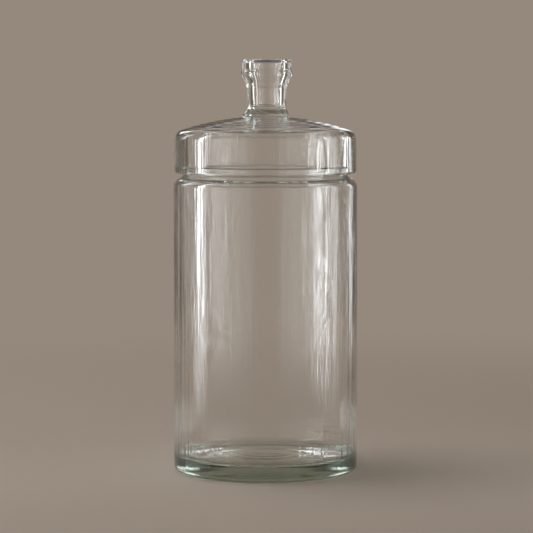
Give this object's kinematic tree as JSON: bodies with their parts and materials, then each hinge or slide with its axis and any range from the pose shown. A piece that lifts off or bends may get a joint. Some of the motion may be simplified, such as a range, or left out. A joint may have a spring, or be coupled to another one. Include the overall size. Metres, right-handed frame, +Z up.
{
  "type": "lidded glass canister",
  "caption": "Tall straight-sided glass storage jar with a domed glass lid that lifts off by a hollow glass knob; the lid's skirt seats over the jar's neck.",
  "frame": {"origin": "centre of the ring that the jar stands on", "axes": "+Z up along the jar's axis, towards the knob"},
  "size_m": [0.11, 0.11, 0.2464],
  "materials": {
    "jar_glass": "clear blown soda-lime glass, faintly green where it is thick",
    "lid_glass": "clear blown soda-lime glass, thick and slightly rippled"
  },
  "bodies": {
    "jar": {"jar_body": "jar_glass"},
    "lid": {"lid_cover": "lid_glass", "knob_foot": "lid_glass", "lid_knob": "lid_glass"}
  },
  "joints": [
    {"name": "lid_lift", "type": "slide", "parent": "jar", "child": "lid", "axis": [0, 0, 1], "range_m": [0, 0.12]}
  ]
}
